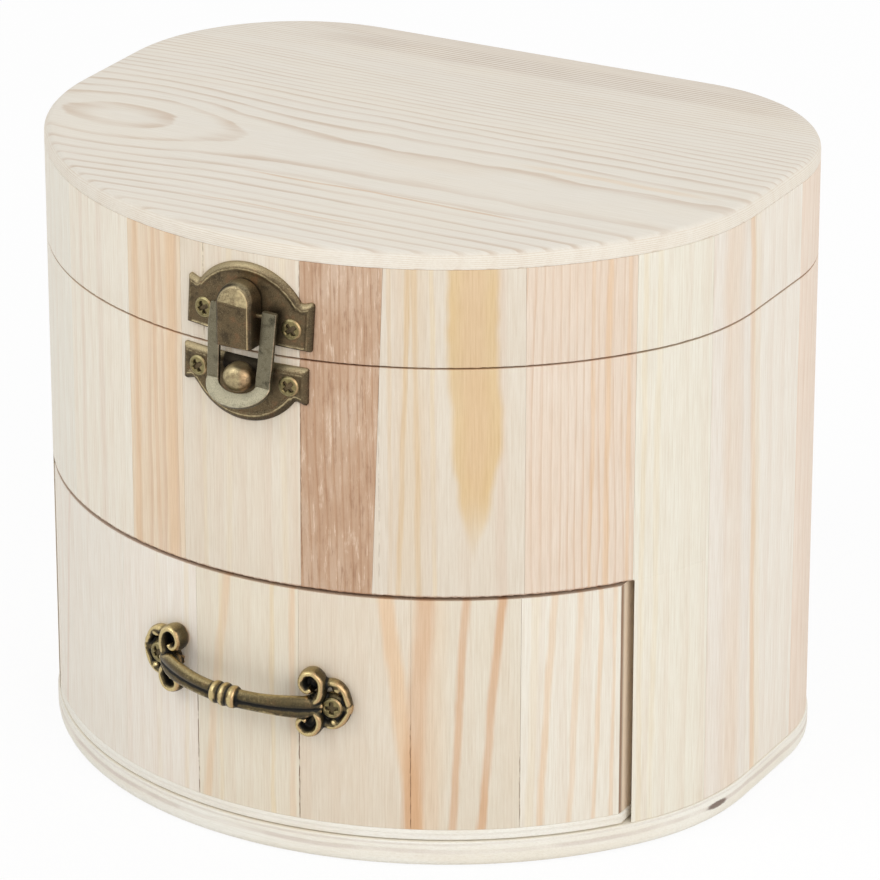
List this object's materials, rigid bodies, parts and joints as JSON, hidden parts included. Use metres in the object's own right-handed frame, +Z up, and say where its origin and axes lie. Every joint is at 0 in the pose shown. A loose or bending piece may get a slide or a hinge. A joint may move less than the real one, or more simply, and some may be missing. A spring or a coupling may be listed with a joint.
{
  "type": "jewellery box with drawer",
  "caption": "Round-fronted wooden jewellery box with a hinged lid, a lever latch, an upper compartment and a drawer with a scrolled pull.",
  "frame": {"origin": "centre of the underside of the overall box, on the table", "axes": "+Z up, front with the drawer towards -Y, hinged flat back towards +Y"},
  "size_m": [0.2008, 0.1808, 0.1681],
  "materials": {
    "pine_stave": "unfinished edge-glued pine staves, vertical grain, sanded",
    "pine_board": "unfinished pine board, grain parallel to the back, rounded edge",
    "pine_strip": "unfinished planed pine",
    "plywood": "unfinished thin plywood, pale faces, layered edge",
    "antique_bronze": "antique bronze plating, dark in the hollows and rubbed bright on the edges",
    "loop_metal": "greyer antique plating with a fine speckle",
    "bronze_screw": "antique brass cross-recessed screws"
  },
  "bodies": {
    "case": {"base_board": "plywood", "case_front_staves": "pine_stave", "case_left_staves": "pine_stave", "case_right_staves": "pine_stave", "case_back_staves": "pine_stave", "compartment_floor": "plywood", "drawer_guide_left": "pine_strip", "drawer_guide_right": "pine_strip", "hinge_case_leaf_left": "antique_bronze", "hinge_case_leaf_right": "antique_bronze", "hinge_pin_left": "antique_bronze", "hinge_pin_right": "antique_bronze", "hinge_case_screws": "bronze_screw", "latch_case_plate": "antique_bronze", "latch_knob": "antique_bronze", "latch_case_screws": "bronze_screw"},
    "lid": {"lid_top_board": "pine_board", "lid_front_staves": "pine_stave", "lid_left_staves": "pine_stave", "lid_right_staves": "pine_stave", "lid_back_staves": "pine_stave", "hinge_lid_leaf_left": "antique_bronze", "hinge_lid_leaf_right": "antique_bronze", "hinge_lid_screws": "bronze_screw", "latch_lid_plate": "antique_bronze", "latch_lid_screws": "bronze_screw", "latch_lever_pin": "antique_bronze"},
    "lever": {"latch_lever": "antique_bronze"},
    "loop_pin": {"latch_loop_pin": "antique_bronze"},
    "loop": {"latch_loop": "loop_metal"},
    "drawer": {"drawer_front_staves": "pine_stave", "drawer_bottom": "plywood", "drawer_side_left": "pine_strip", "drawer_side_right": "pine_strip", "drawer_back": "pine_strip", "drawer_handle": "antique_bronze", "handle_screws": "bronze_screw"}
  },
  "joints": [
    {"name": "lid_hinge", "type": "hinge", "parent": "case", "child": "lid", "pos_m": [0, 0.0858, 0.1377], "axis": [-1, 0, 0], "range_deg": [0, 103]},
    {"name": "drawer_slide", "type": "slide", "parent": "case", "child": "drawer", "axis": [0, -1, 0], "range_m": [0, 0.08]},
    {"name": "latch_lever_hinge", "type": "hinge", "parent": "lid", "child": "lever", "pos_m": [0, -0.0817, 0.142], "axis": [1, 0, 0], "range_deg": [0, 110]},
    {"name": "latch_loop_pin_turn", "type": "hinge", "parent": "lever", "child": "loop_pin", "pos_m": [0, -0.0817, 0.149], "axis": [1, 0, 0], "range_deg": [-110, 0]},
    {"name": "latch_loop_swing", "type": "hinge", "parent": "loop_pin", "child": "loop", "pos_m": [0, -0.0817, 0.149], "axis": [-1, 0, 0], "range_deg": [0, 100]}
  ],
  "couplings": [
    {"joint": "latch_loop_pin_turn", "follows": "latch_lever_hinge", "ratio": -1}
  ]
}
